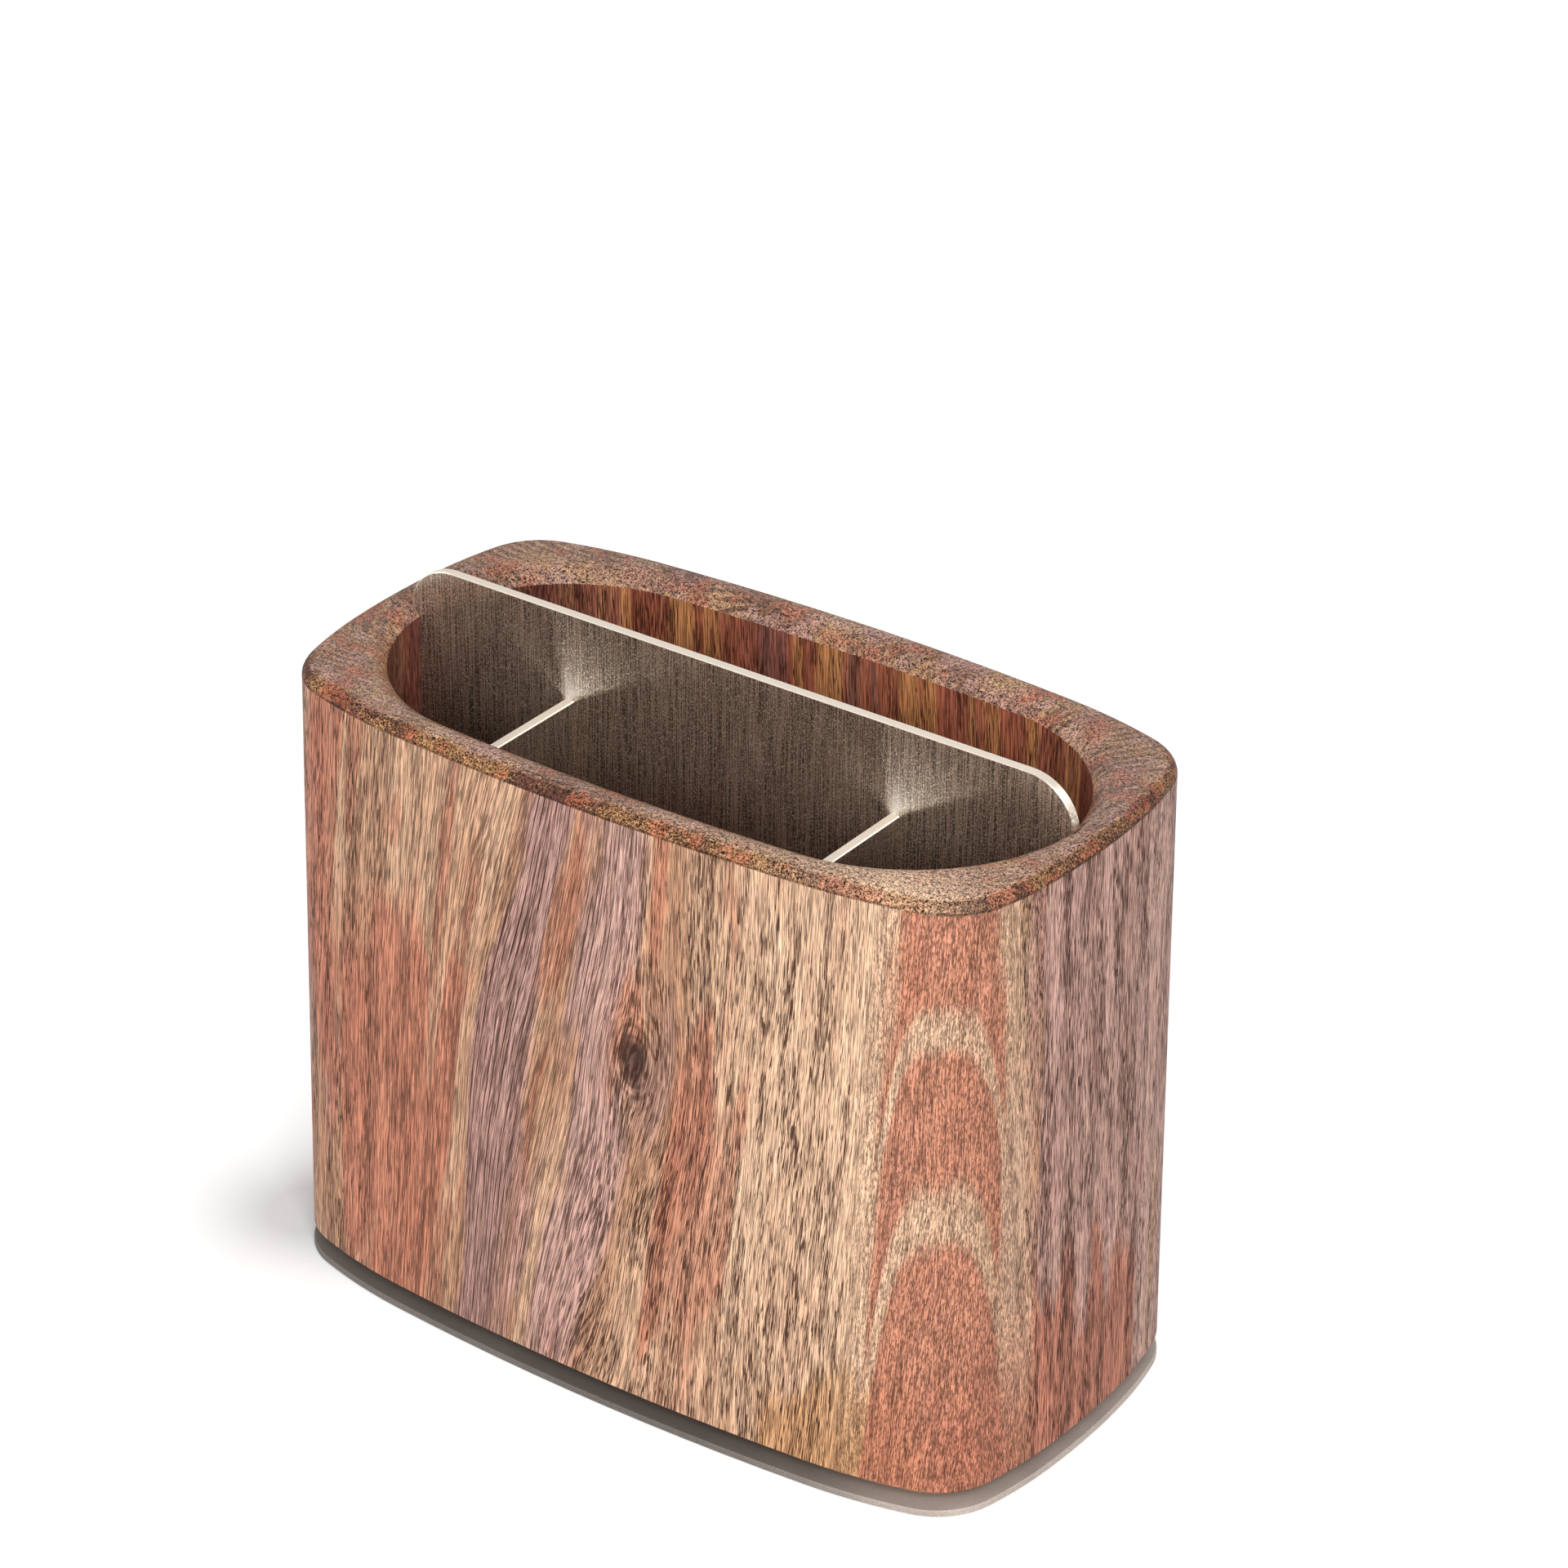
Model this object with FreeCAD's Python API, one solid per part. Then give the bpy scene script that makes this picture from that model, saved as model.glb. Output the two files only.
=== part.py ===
import FreeCAD, Part
import math
import os

# A free-standing utensil caddy. A block of three upright boards, glued face to face, is hollowed to an
# oval well with soft bowed sides. A drop-in steel divider parts the well into one long compartment at
# the back and three short ones at the front. The block stands on spacers, a finger's breadth of air
# above a flat steel base plate.
#
# Millimetres, +Z up, X along the length, -Y is the front. The origin is on the table, under the middle.

# ---- driving dimensions: the wooden body -------------------------------------------------------------
half_length = 100.0            # at the rim
half_width = 54.4              # at the rim
body_height = 152.9            # from the underside to the rim
base_spread = 1.85             # how much further out each end stands at the underside than at the rim
middle_board = 42.0            # thickness of the middle board, front and back boards take the rest

# The outline is a chain of tangent arcs. Each turn is the angle that an arc sweeps in one quarter,
# counted from the middle of an end. The corner and the long bow close the quarter.
end_bow_radius = 204.0
end_bow_turn = 4.3
end_shoulder_radius = 115.0
end_shoulder_turn = 9.3
corner_turn = 59.8
side_shoulder_radius = 128.0
side_shoulder_turn = 11.5

outer_round = 3.2              # rounding of the rim's outer edge
rim_band = 4.0                 # upright band below the rim, where the flare starts
foot_break = 0.9               # bevel of the body's lower edge
foot_band = 1.5                # upright band above the underside, where the flare ends

# ---- driving dimensions: the well --------------------------------------------------------------------
end_wall = 9.8                 # at the rim, in the middle of an end
side_wall = 10.9               # at the rim, in the middle of a long side
well_nose_radius = 20.0        # short arc at each end of the well, where the divider's groove is
well_nose_turn = 6.0
well_corner_turn = 80.2
rim_round = 7.6                # rounding of the rim's inner edge
rim_round_trim = 1.2           # the finished wall cuts this much off the round, which leaves a crisp edge

groove_depth = 3.1             # upright grooves in the end walls, which hold the divider
floor_thickness = 8.0
floor_seat = 3.5               # how far the floor reaches under the walls
floor_clearance = 0.1

drain_radius = 3.0             # half the width of a drain slot
drain_length = 24.0            # of the slot in each front compartment
back_drain_length = 96.0
drain_row = 17.0               # from the middle line to the slots in front of it and behind it

# ---- driving dimensions: the base --------------------------------------------------------------------
base_thickness = 1.5
base_margin = 0.2              # how far the plate stands out past the body's underside
base_edge_break = 0.3          # small bevel on the plate's upper edge
base_gap = 4.15                # open gap between the plate and the body
spacer_radius = 7.0
screw_x = 68.0
screw_y = 29.0
screw_radius = 1.5
screw_head_radius = 2.9
screw_grip = 6.0               # how far the screw reaches into the floor
screw_clearance = 0.05
pad_radius = 8.0
pad_thickness = 0.6

# ---- driving dimensions: the divider -----------------------------------------------------------------
plate_thickness = 2.5
long_plate_rise = 10.3         # how far the long plate stands above the rim
long_plate_corner = 12.5       # radius of its two top corners
groove_side_clearance = 0.25
groove_end_clearance = 0.3
cross_plate_x = 45.8
cross_plate_drop = 11.8        # how far below the rim the cross plates end
cross_plate_wall_clearance = 0.8
plate_edge_break = 0.25        # small bevel on the plates' top edges
tab_height = 24.0
tab_clearance = 0.1
tabs_per_plate = 2
foot_length = 12.0             # the plates stand on feet, with a low cut-out between them
foot_height = 3.0

# ---- levels and sizes that follow from them ----------------------------------------------------------
base_bottom = pad_thickness
base_top = base_bottom + base_thickness
body_bottom = base_top + base_gap
body_top = body_bottom + body_height
floor_top = body_bottom + floor_thickness
underside_scale = 1.0 + base_spread / half_length
well_half_length = half_length - end_wall
well_half_width = half_width - side_wall
groove_end = well_half_length + groove_depth
long_plate_half_length = groove_end - groove_end_clearance
long_plate_top = body_top + long_plate_rise
cross_plate_top = body_top - cross_plate_drop
plate_face = plate_thickness / 2.0
beyond = 10.0                  # how far a cutting tool runs past what it cuts
same_place = 1e-4              # points nearer than this are one point


def box(low, high):
    """Block between two opposite corners."""
    size = [b - a for a, b in zip(low, high)]
    return Part.makeBox(*size, FreeCAD.Vector(*low))


def closing_radii(half_x, half_y, end_arcs, corner_sweep, shoulder_arcs):
    """Radii of the corner and of the long bow that bring a quarter from (half_x, 0) to (0, half_y).

    An arc of radius r between the outward normals a and b covers r*(cos a - cos b) of half_x and
    r*(sin b - sin a) of half_y, so the two unknown radii solve two linear equations.
    """
    def cover(start, end):
        return math.cos(start) - math.cos(end), math.sin(end) - math.sin(start)

    left_x, left_y = half_x, half_y
    turned = 0.0
    for radius, turn in end_arcs:
        x, y = cover(turned, turned + turn)
        left_x -= radius * x
        left_y -= radius * y
        turned += turn
    corner_x, corner_y = cover(turned, turned + corner_sweep)
    turned += corner_sweep
    for radius, turn in shoulder_arcs:
        x, y = cover(turned, turned + turn)
        left_x -= radius * x
        left_y -= radius * y
        turned += turn
    bow_x, bow_y = cover(turned, math.pi / 2)
    determinant = corner_x * bow_y - bow_x * corner_y
    corner = (left_x * bow_y - bow_x * left_y) / determinant
    bow = (corner_x * left_y - left_x * corner_y) / determinant
    return corner, bow


def quarter_arcs(half_x, half_y, end_arcs, corner_turn_deg, shoulder_arcs):
    """The arcs of one quarter, as (centre x, centre y, radius, start, end), angles in radians."""
    ends = [(radius, math.radians(turn)) for radius, turn in end_arcs]
    shoulders = [(radius, math.radians(turn)) for radius, turn in shoulder_arcs]
    sweep = math.radians(corner_turn_deg)
    corner, bow = closing_radii(half_x, half_y, ends, sweep, shoulders)
    turned = sum(turn for _, turn in ends + shoulders) + sweep
    chain = ends + [(corner, sweep)] + shoulders + [(bow, math.pi / 2 - turned)]
    arcs = []
    angle = 0.0
    centre_x, centre_y = half_x - chain[0][0], 0.0
    last_radius = chain[0][0]
    for radius, turn in chain:
        centre_x += (last_radius - radius) * math.cos(angle)
        centre_y += (last_radius - radius) * math.sin(angle)
        arcs.append((centre_x, centre_y, radius, angle, angle + turn))
        angle += turn
        last_radius = radius
    return arcs


def arc_edge(centre_x, centre_y, radius, start, end, z):
    """Arc through its two ends and its middle."""
    points = []
    for angle in (start, (start + end) / 2, end):
        x = centre_x + radius * math.cos(angle)
        y = centre_y + radius * math.sin(angle)
        points.append(FreeCAD.Vector(x, y, z))
    return Part.Arc(*points).toShape()


def closed_outline(arcs, z):
    """Mirror a quarter into the whole outline. The arcs on the two axes are each drawn in one piece."""
    edges = []
    first, between, last = arcs[0], arcs[1:-1], arcs[-1]
    for side in (0, 1):
        turn_x = -1 if side else 1
        half_sweep = first[4]
        middle = math.pi * side
        edges.append(arc_edge(turn_x * first[0], 0, first[2], middle - half_sweep, middle + half_sweep, z))
        turn_y = -1 if side else 1
        bow_from = last[3] + math.pi * side
        bow_to = math.pi - last[3] + math.pi * side
        edges.append(arc_edge(0, turn_y * last[1], last[2], bow_from, bow_to, z))
    for x, y, radius, start, end in between:
        edges.append(arc_edge(x, y, radius, start, end, z))
        edges.append(arc_edge(-x, y, radius, math.pi - end, math.pi - start, z))
        edges.append(arc_edge(-x, -y, radius, math.pi + start, math.pi + end, z))
        edges.append(arc_edge(x, -y, radius, -end, -start, z))
    return Part.Wire(Part.__sortEdges__(edges))


def body_outline(z, scale=1.0, grow=0.0):
    """Outer outline at a height, scaled about the middle and then grown outwards."""
    arcs = quarter_arcs(
        half_length * scale + grow,
        half_width * scale + grow,
        [
            (end_bow_radius * scale + grow, end_bow_turn),
            (end_shoulder_radius * scale + grow, end_shoulder_turn),
        ],
        corner_turn,
        [(side_shoulder_radius * scale + grow, side_shoulder_turn)],
    )
    return closed_outline(arcs, z)


def well_outline(z, grow=0.0):
    """Outline of the well, grown outwards."""
    arcs = quarter_arcs(
        well_half_length + grow,
        well_half_width + grow,
        [(well_nose_radius + grow, well_nose_turn)],
        well_corner_turn,
        [],
    )
    return closed_outline(arcs, z)


def upright(wire, height):
    """Solid with straight walls on an outline."""
    return Part.Face(wire).extrude(FreeCAD.Vector(0, 0, height))


def edges_on(solid, wire):
    """Edges of a solid whose middle lies on a wire."""
    found = []
    for edge in solid.Edges:
        middle = edge.valueAt((edge.FirstParameter + edge.LastParameter) / 2)
        if Part.Vertex(middle).distToShape(wire)[0] < same_place:
            found.append(edge)
    return found


def edges_between(solid, start, end):
    """Edges of a solid that lie on the straight line between two points."""
    return edges_on(solid, Part.makeLine(start, end))


def hollow_body():
    """Flared block with its well, rounded rim, floor rebate and divider grooves, still in one piece."""
    foot_wire = body_outline(body_bottom, underside_scale)
    flare_end = body_outline(body_bottom + foot_band, underside_scale)
    flare_start = body_outline(body_top - rim_band)
    rim_wire = body_outline(body_top)
    foot = upright(foot_wire, foot_band)
    foot = foot.makeChamfer(foot_break, edges_on(foot, foot_wire))
    rim = upright(flare_start, rim_band)
    rim = rim.makeFillet(outer_round, edges_on(rim, rim_wire))
    block = Part.makeLoft([flare_end, flare_start], True, True).fuse([foot, rim])

    # The rim is rounded on a slightly narrow well, which is then finished to its full width.
    depth = body_height + 2 * beyond
    block = block.cut(upright(well_outline(body_bottom - beyond, -rim_round_trim), depth))
    block = block.makeFillet(rim_round, edges_on(block, well_outline(body_top, -rim_round_trim)))
    block = block.cut(upright(well_outline(body_bottom - beyond), depth))

    rebate = upright(well_outline(body_bottom - beyond, floor_seat), floor_thickness + beyond)
    groove_half = plate_face + groove_side_clearance
    groove = box((-groove_end, -groove_half, floor_top), (groove_end, groove_half, body_top + beyond))
    return block.cut(rebate).cut(groove)


def boards(body):
    """Saw the block along its glue lines: front and back boards, and what is left of the middle one."""
    reach = half_length * underside_scale + beyond
    low, high = body_bottom - beyond, body_top + beyond
    seam = middle_board / 2.0
    cuts = {
        "front_board": box((-reach, -reach, low), (reach, -seam, high)),
        "back_board": box((-reach, seam, low), (reach, reach, high)),
        "left_end_block": box((-reach, -seam, low), (0, seam, high)),
        "right_end_block": box((0, -seam, low), (reach, seam, high)),
    }
    return {name: body.common(cut) for name, cut in cuts.items()}


def screw_places():
    return [(x, y) for x in (-screw_x, screw_x) for y in (-screw_y, screw_y)]


def screw(x, y, clearance=0.0):
    """Countersunk wood screw, its head flush with the plate's underside. With a clearance, its hole."""
    shank = screw_radius + clearance
    head = screw_head_radius + clearance
    tip = body_bottom + screw_grip + clearance
    profile = [
        (0.0, base_bottom),
        (head, base_bottom),
        (shank, base_bottom + head - shank),
        (shank, tip),
        (0.0, tip),
    ]
    corners = [FreeCAD.Vector(x + r, y, z) for r, z in profile + profile[:1]]
    face = Part.Face(Part.makePolygon(corners))
    return face.revolve(FreeCAD.Vector(x, y, 0), FreeCAD.Vector(0, 0, 1), 360)


def disc(x, y, radius, low, high):
    return Part.makeCylinder(radius, high - low, FreeCAD.Vector(x, y, low))


def with_screw_holes(solid):
    for x, y in screw_places():
        solid = solid.cut(screw(x, y, screw_clearance))
    return solid


def compartment_middle():
    """Middle of a side compartment along X, between its cross plate and the end of the well."""
    return (cross_plate_x + plate_face + well_half_length) / 2.0


def drain_slot(x, y, length):
    """Cutter for a slot with round ends, through the floor."""
    low, high = body_bottom - beyond, floor_top + beyond
    straight = length / 2.0 - drain_radius
    middle = box((x - straight, y - drain_radius, low), (x + straight, y + drain_radius, high))
    ends = [disc(x + side * straight, y, drain_radius, low, high) for side in (-1, 1)]
    return middle.fuse(ends).removeSplitter()


def floor_board():
    """Floor, let into the walls from below, with a drain slot in each compartment."""
    outline = well_outline(body_bottom, floor_seat - floor_clearance)
    solid = upright(outline, floor_thickness)
    for x in (-compartment_middle(), 0.0, compartment_middle()):
        solid = solid.cut(drain_slot(x, -drain_row, drain_length))
    solid = solid.cut(drain_slot(0.0, drain_row, back_drain_length))
    return with_screw_holes(solid)


def base_plate():
    """Flat plate under the body, with countersunk holes."""
    solid = upright(body_outline(base_bottom, underside_scale, base_margin), base_thickness)
    upper = body_outline(base_top, underside_scale, base_margin)
    solid = solid.makeChamfer(base_edge_break, edges_on(solid, upper))
    return with_screw_holes(solid)


def spacers():
    return with_screw_holes(Part.Compound([disc(x, y, spacer_radius, base_top, body_bottom)
                                           for x, y in screw_places()]))


def pads():
    return Part.Compound([disc(x, y, pad_radius, 0.0, pad_thickness) for x, y in screw_places()])


def tab_levels():
    """Lower end of each tab: the tabs are spread evenly over the cross plate's height."""
    free = cross_plate_top - floor_top - tabs_per_plate * tab_height
    space = free / (tabs_per_plate + 1)
    return [floor_top + space + i * (tab_height + space) for i in range(tabs_per_plate)]


def tab(x, z, clearance=0.0):
    """Tab of a cross plate, through the long plate and flush with its back. With a clearance, its slot."""
    half = plate_face + clearance
    return box((x - half, -plate_face, z - clearance), (x + half, plate_face, z + tab_height + clearance))


def long_plate():
    """Long plate of the divider: round top corners, slots for the cross plates and a low arch below."""
    half = long_plate_half_length
    solid = box((-half, -plate_face, floor_top), (half, plate_face, long_plate_top))
    top_corners = []
    for x in (-half, half):
        top_corners += edges_between(solid, (x, -plate_face, long_plate_top), (x, plate_face, long_plate_top))
    solid = solid.makeFillet(long_plate_corner, top_corners)
    solid = solid.cut(box((foot_length - half, -beyond, floor_top - beyond),
                          (half - foot_length, beyond, floor_top + foot_height)))
    top_edges = []
    for face in (-plate_face, plate_face):
        top_edges += edges_between(solid, (-half, face, long_plate_top), (half, face, long_plate_top))
    solid = solid.makeChamfer(plate_edge_break, top_edges)
    for x in (-cross_plate_x, cross_plate_x):
        for z in tab_levels():
            solid = solid.cut(tab(x, z, tab_clearance))
    return solid


def well_reach(x):
    """How far the well reaches from the middle line at a place along X."""
    section = upright(well_outline(0.0), 1.0).common(
        box((x - plate_face, -half_width, 0.0), (x + plate_face, half_width, 1.0)))
    corners = [v.Y for v in section.Vertexes if v.Y > 0]
    return min(corners)


def cross_plate(x):
    """Cross plate from the front wall to the long plate, which its tabs pass through."""
    front = cross_plate_wall_clearance - well_reach(abs(x))
    solid = box((x - plate_face, front, floor_top), (x + plate_face, -plate_face, cross_plate_top))
    top_edges = []
    for face in (x - plate_face, x + plate_face):
        ends = (face, front, cross_plate_top), (face, -plate_face, cross_plate_top)
        top_edges += edges_between(solid, *ends)
    solid = solid.makeChamfer(plate_edge_break, top_edges)
    solid = solid.cut(box((x - beyond, front + foot_length, floor_top - beyond),
                          (x + beyond, -plate_face - foot_length, floor_top + foot_height)))
    for z in tab_levels():
        solid = solid.fuse(tab(x, z))
    return solid.removeSplitter()


def save(name, shape):
    solids = shape.Solids
    print(f"{name}: {len(solids)} solid(s), {sum(s.Volume for s in solids):.0f} mm3, valid {shape.isValid()}")
    shape.exportStep(os.path.join("parts", name + ".step"))


os.makedirs("parts", exist_ok=True)
for board_name, board in boards(hollow_body()).items():
    save(board_name, board)
save("floor_board", floor_board())
save("base_plate", base_plate())
save("base_spacers", spacers())
save("base_screws", Part.Compound([screw(x, y) for x, y in screw_places()]))
save("non_slip_pads", pads())
save("divider_long_plate", long_plate())
save("divider_cross_plate_left", cross_plate(-cross_plate_x))
save("divider_cross_plate_right", cross_plate(cross_plate_x))
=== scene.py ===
# %% [markdown]
# # A wooden utensil caddy with a steel divider
# The caddy is a hollowed block of three upright boards on a thin steel base, with a loose steel divider
# standing in its well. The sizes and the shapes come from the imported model, which is loaded first and
# is never moved. This lesson gives the caddy its finishes, the floor it stands on, the light and the
# camera.

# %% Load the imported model
import math
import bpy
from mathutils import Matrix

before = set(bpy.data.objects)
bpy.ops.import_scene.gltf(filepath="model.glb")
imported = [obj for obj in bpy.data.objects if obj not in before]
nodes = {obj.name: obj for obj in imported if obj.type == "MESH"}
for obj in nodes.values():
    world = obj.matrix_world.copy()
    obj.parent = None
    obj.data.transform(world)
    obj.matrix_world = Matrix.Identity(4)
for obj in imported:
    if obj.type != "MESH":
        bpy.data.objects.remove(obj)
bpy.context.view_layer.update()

from types import SimpleNamespace

import bpy
from mathutils import Matrix, Vector

bpy.ops.object.select_all(action="DESELECT")
print("nodes:", ", ".join(sorted(nodes)))

# %% [markdown]
# ## The camera
# It looks down on the front right corner from about a metre and a quarter, with a long lens, as is usual
# for a product on a table: a long lens keeps upright edges nearly parallel. The direction is given by a
# compass angle and a height angle, because those two are easier to picture than a position.

# %% Camera
LENS_MM = 122.6
SENSOR_MM = 36.0
NEAREST = 0.01                      # metres, nothing nearer is drawn
TURN = math.radians(35.43)          # to the right of straight ahead
HEIGHT = math.radians(28.61)        # above level
TILT = math.radians(0.67)           # a slight lean of the whole frame
AIM = Vector((-0.0037, 0.0255, 0.1272))
DISTANCE = 1.2442

towards = Vector((math.sin(TURN) * math.cos(HEIGHT), -math.cos(TURN) * math.cos(HEIGHT), math.sin(HEIGHT)))
camera_data = bpy.data.cameras.new("camera")
camera_data.lens = LENS_MM
camera_data.sensor_width = SENSOR_MM
camera_data.clip_start = NEAREST
camera = bpy.data.objects.new("camera", camera_data)
bpy.context.scene.collection.objects.link(camera)
facing = towards.to_track_quat("Z", "Y")
camera.matrix_world = (Matrix.Translation(AIM + towards * DISTANCE) @ facing.to_matrix().to_4x4()
                       @ Matrix.Rotation(TILT, 4, "Z"))
bpy.context.scene.camera = camera
print("camera at", [round(v, 4) for v in camera.matrix_world.translation])

# %% [markdown]
# ## Small helpers for materials
# A procedural material is a sum done at every point of the surface. Wiring each sum by hand hides what
# it says, so these helpers add one node each and give back its result, and a finish can then be read
# from top to bottom.

# %% Sums
def new_material(name):
    """An empty material with a principled shader."""
    material = bpy.data.materials.new(name)
    material.use_nodes = True
    return material, material.node_tree, material.node_tree.nodes["Principled BSDF"]


def feed(tree, socket, value):
    """Put a number on a socket, or wire another node's result to it."""
    if isinstance(value, bpy.types.NodeSocket):
        tree.links.new(value, socket)
    else:
        socket.default_value = value


def sums(tree, operation, *values):
    """One sum on numbers."""
    node = tree.nodes.new("ShaderNodeMath")
    node.operation = operation
    for socket, value in zip(node.inputs, values):
        feed(tree, socket, value)
    return node.outputs[0]


def add(tree, first, second):
    return sums(tree, "ADD", first, second)


def subtract(tree, first, second):
    return sums(tree, "SUBTRACT", first, second)


def times(tree, first, second):
    return sums(tree, "MULTIPLY", first, second)


def larger(tree, first, second):
    return sums(tree, "MAXIMUM", first, second)


def size_of(tree, value):
    """The value without its sign."""
    return sums(tree, "ABSOLUTE", value)


def centred(tree, value):
    """A value from 0 to 1, brought to -0.5 to 0.5."""
    return subtract(tree, value, 0.5)


def distance(tree, across, along, squash=1.0):
    """How far a point is from 0, 0. squash: counts along less."""
    squares = add(tree, times(tree, across, across), times(tree, times(tree, along, along), squash))
    return sums(tree, "SQRT", squares)


def step(tree, value, start, end, low=0.0, high=1.0):
    """Soft step: low below start, high above end."""
    node = tree.nodes.new("ShaderNodeMapRange")
    node.interpolation_type = "SMOOTHSTEP"
    for name, number in (("Value", value), ("From Min", start), ("From Max", end),
                         ("To Min", low), ("To Max", high)):
        feed(tree, node.inputs[name], number)
    return node.outputs[0]


BELL_POWER = -2.0


def bell(tree, *offsets):
    """1 at the middle, falling softly to 0. Each offset is a distance already divided by a width."""
    total = 1.0
    for offset in offsets:
        total = add(tree, times(tree, offset, offset), total)
    return sums(tree, "POWER", total, BELL_POWER)


def blend_number(tree, amount, first, second):
    """Blend two numbers."""
    return add(tree, first, times(tree, amount, subtract(tree, second, first)))


# %% [markdown]
# ### Places, patterns and colours
# A place is three numbers, in millimetres on the piece itself, so a pattern stays with a piece that
# moves. Noise is a cloud of numbers in space. Squeezed sideways and drawn out along Z it makes fibres,
# pores and scratches, and with a soft step over it, spots with an edge.

# %% Places, patterns and colours
MM_PER_METRE = 1000.0


def vector(tree, x, y, z):
    """A vector from three numbers."""
    node = tree.nodes.new("ShaderNodeCombineXYZ")
    for socket, value in zip(node.inputs, (x, y, z)):
        feed(tree, socket, value)
    return node.outputs[0]


def split(tree, value):
    """The three numbers of a vector."""
    node = tree.nodes.new("ShaderNodeSeparateXYZ")
    feed(tree, node.inputs[0], value)
    return tuple(node.outputs)


def place_in_mm(tree):
    """The point on the piece, in millimetres, as three numbers."""
    scaled = tree.nodes.new("ShaderNodeVectorMath")
    scaled.operation = "SCALE"
    feed(tree, scaled.inputs[0], tree.nodes.new("ShaderNodeTexCoord").outputs["Object"])
    scaled.inputs["Scale"].default_value = MM_PER_METRE
    return split(tree, scaled.outputs[0])


def surface_normal(tree):
    """Which way the surface faces."""
    return tree.nodes.new("ShaderNodeNewGeometry").outputs["Normal"]


def noise(tree, x, y, z, detail):
    """Cloudy noise from 0 to 1, with features about one unit across."""
    node = tree.nodes.new("ShaderNodeTexNoise")
    feed(tree, node.inputs["Vector"], vector(tree, x, y, z))
    for name, value in (("Scale", 1.0), ("Detail", detail), ("Roughness", 0.5), ("Distortion", 0.0)):
        node.inputs[name].default_value = value
    return node.outputs["Fac"]


def spots(tree, point, pattern, seed=0.0, detail=1.0):
    """Noise drawn out along Z. pattern: width and length of one spot, and a shift from other patterns."""
    x, y, z = point
    width, length, shift = pattern
    return noise(tree, times(tree, x, 1 / width), times(tree, y, 1 / width),
                 add(tree, times(tree, z, 1 / length), seed + shift), detail)


def crumbs(tree, point, per_mm, seed=0.0, detail=2.0):
    """Noise that is as long as it is wide. per_mm: crumbs in a millimetre."""
    x, y, z = (times(tree, value, per_mm) for value in point)
    return noise(tree, x, y, add(tree, z, seed), detail)


def blend(tree, amount, first, second, kind="MIX"):
    """Blend two colours."""
    node = tree.nodes.new("ShaderNodeMix")
    node.data_type = "RGBA"
    node.blend_type = kind
    feed(tree, node.inputs["Factor"], amount)
    for name, value in (("A", first), ("B", second)):
        socket = [s for s in node.inputs if s.name == name and s.type == "RGBA"][0]
        feed(tree, socket, value if isinstance(value, bpy.types.NodeSocket) else (*value, 1.0))
    return [s for s in node.outputs if s.type == "RGBA"][0]


def shaded(tree, colour, brightness):
    """A colour times a brightness."""
    return blend(tree, 1.0, colour, vector(tree, brightness, brightness, brightness), kind="MULTIPLY")


def bump(tree, height, depth, strength):
    """Turn a height into a bent normal. depth: the metres that a height of 1 stands for."""
    node = tree.nodes.new("ShaderNodeBump")
    node.inputs["Distance"].default_value = depth
    node.inputs["Strength"].default_value = strength
    feed(tree, node.inputs["Height"], height)
    return node.outputs["Normal"]


def dress(finish, *node_names):
    """Give the named nodes one finish."""
    for node_name in node_names:
        nodes[node_name].data.materials.clear()
        nodes[node_name].data.materials.append(finish)
    print(finish.name, "on", ", ".join(node_names))


# %% [markdown]
# ## The wood
# The boards stand with their grain upright, so the long faces show long fibres and open pores as short
# dark dashes, and the rim shows end grain, where the same pores are dots and the growth rings are arcs.
# One pattern that fills the block gives both, because it is the block's own growth. A flat picture
# wrapped round the body would show a seam at every corner and the wrong grain on the rim.
#
# The colours are those of an oiled, mixed-colour hardwood: warm tan and cream, with salmon and
# purple-brown streaks. End grain drinks more oil, so it is darker. All colours are in linear light.

# %% Colours of the wood
TAN = (0.500, 0.268, 0.160)
CREAM = (0.760, 0.500, 0.330)
SALMON = (0.530, 0.195, 0.120)
PURPLE = (0.450, 0.260, 0.228)
MAUVE = (0.580, 0.350, 0.300)
GOLD = (0.560, 0.265, 0.090)
LATE_WOOD = (0.260, 0.115, 0.075)
END_GRAIN = (0.150, 0.065, 0.042)
END_GRAIN_LIGHT = (0.430, 0.245, 0.130)
RED_BLOTCH = (0.420, 0.130, 0.070)
BURNISHED = (0.085, 0.028, 0.017)
STAIN_GOLD = (0.330, 0.165, 0.065)
WELL_SHADE_RED = (0.310, 0.080, 0.042)
WELL_SHADE_GOLD = (0.540, 0.230, 0.080)
WELL_SHADE_PURPLE = (0.150, 0.060, 0.060)
WELL_SHADE = (0.150, 0.040, 0.034)
KNOT = (0.080, 0.040, 0.034)
PORE = (0.045, 0.014, 0.008)

# %% [markdown]
# ### Grain that leans, sways and bends round a knot
# Every pattern below is drawn along grain lines. A grain line is told by the X where it would stand if
# the tree had grown straight: the lean, the slow and the quick sway and the push of a knot are taken off
# the real X. So one bend moves fibres, pores and colours together, as it does in a tree.
#
# A soft step is written as a row of numbers: where it starts, where it ends, and the values before and
# after it, if these aren't 0 and 1. A pattern of spots is written as their width and length in
# millimetres and a shift, which keeps two patterns from being the same one at two sizes.

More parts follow.
